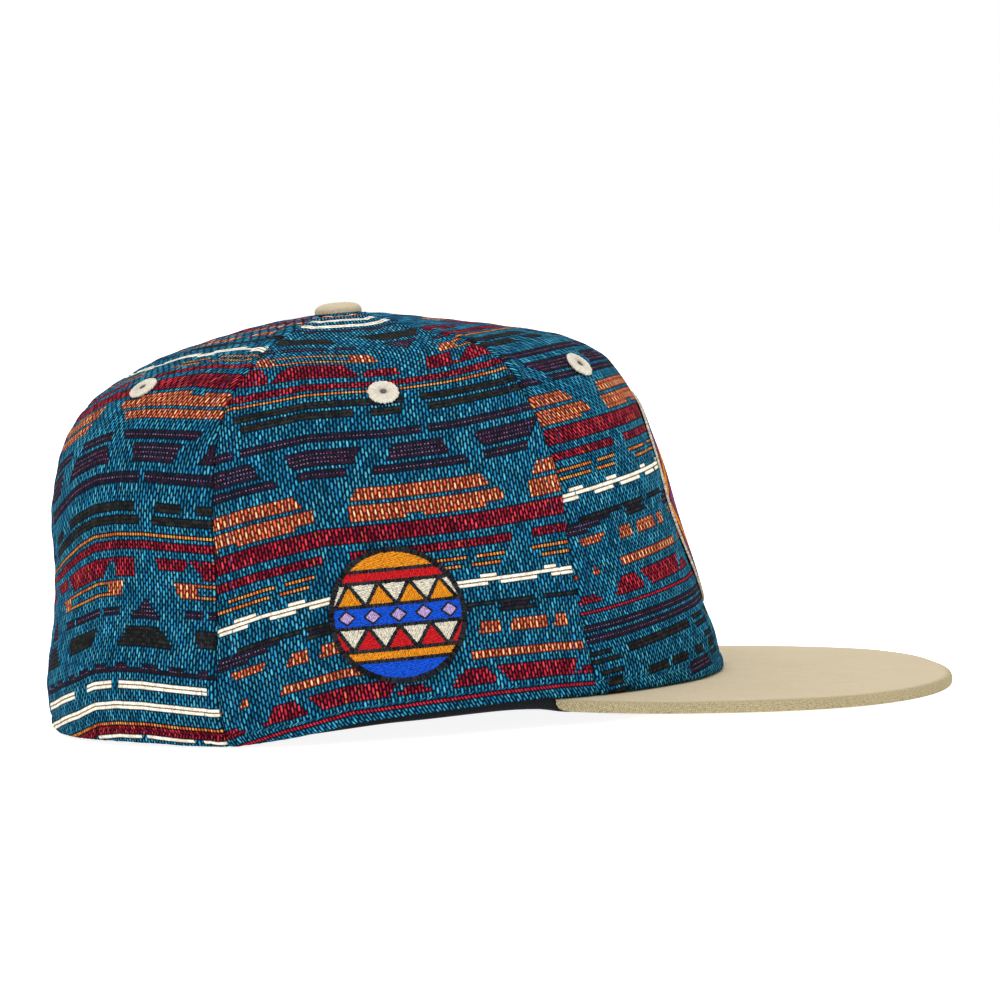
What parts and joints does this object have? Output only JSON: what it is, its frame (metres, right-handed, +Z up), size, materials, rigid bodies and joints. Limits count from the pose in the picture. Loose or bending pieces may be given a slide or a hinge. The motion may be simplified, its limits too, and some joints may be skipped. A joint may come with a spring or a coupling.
{
  "type": "fitted baseball cap",
  "caption": "Fitted cap with a structured woven crown, flat canvas visor, sweatband, cloth button, stitched eyelets and sewn patches.",
  "frame": {"origin": "middle of the bounding box's base, on the surface that the cap rests on", "axes": "+X towards the visor's tip, +Y to the wearer's left, +Z up from the surface"},
  "size_m": [0.2688, 0.181, 0.1221],
  "materials": {
    "jacquard": "banded jacquard weave, bright blue ground with red, orange, maroon, black and cream bands",
    "canvas": "plain matt canvas, khaki",
    "sweatband_twill": "matt black twill",
    "eyelet_thread": "cream satin stitch",
    "side_embroidery": "satin embroidery in cream, red, orange and blue with a black border",
    "front_embroidery": "satin embroidery in maroon, orange, red, violet and blue with a cream border"
  },
  "bodies": {
    "root": {"crown_front_right": "jacquard", "crown_front_left": "jacquard", "crown_side_right": "jacquard", "crown_side_left": "jacquard", "crown_back_right": "jacquard", "crown_back_left": "jacquard", "eyelet_front_right": "eyelet_thread", "eyelet_front_left": "eyelet_thread", "eyelet_side_right": "eyelet_thread", "eyelet_side_left": "eyelet_thread", "eyelet_back_right": "eyelet_thread", "eyelet_back_left": "eyelet_thread", "top_button": "canvas", "visor": "canvas", "sweatband": "sweatband_twill", "side_patch": "side_embroidery", "front_patch": "front_embroidery"}
  },
  "joints": []
}
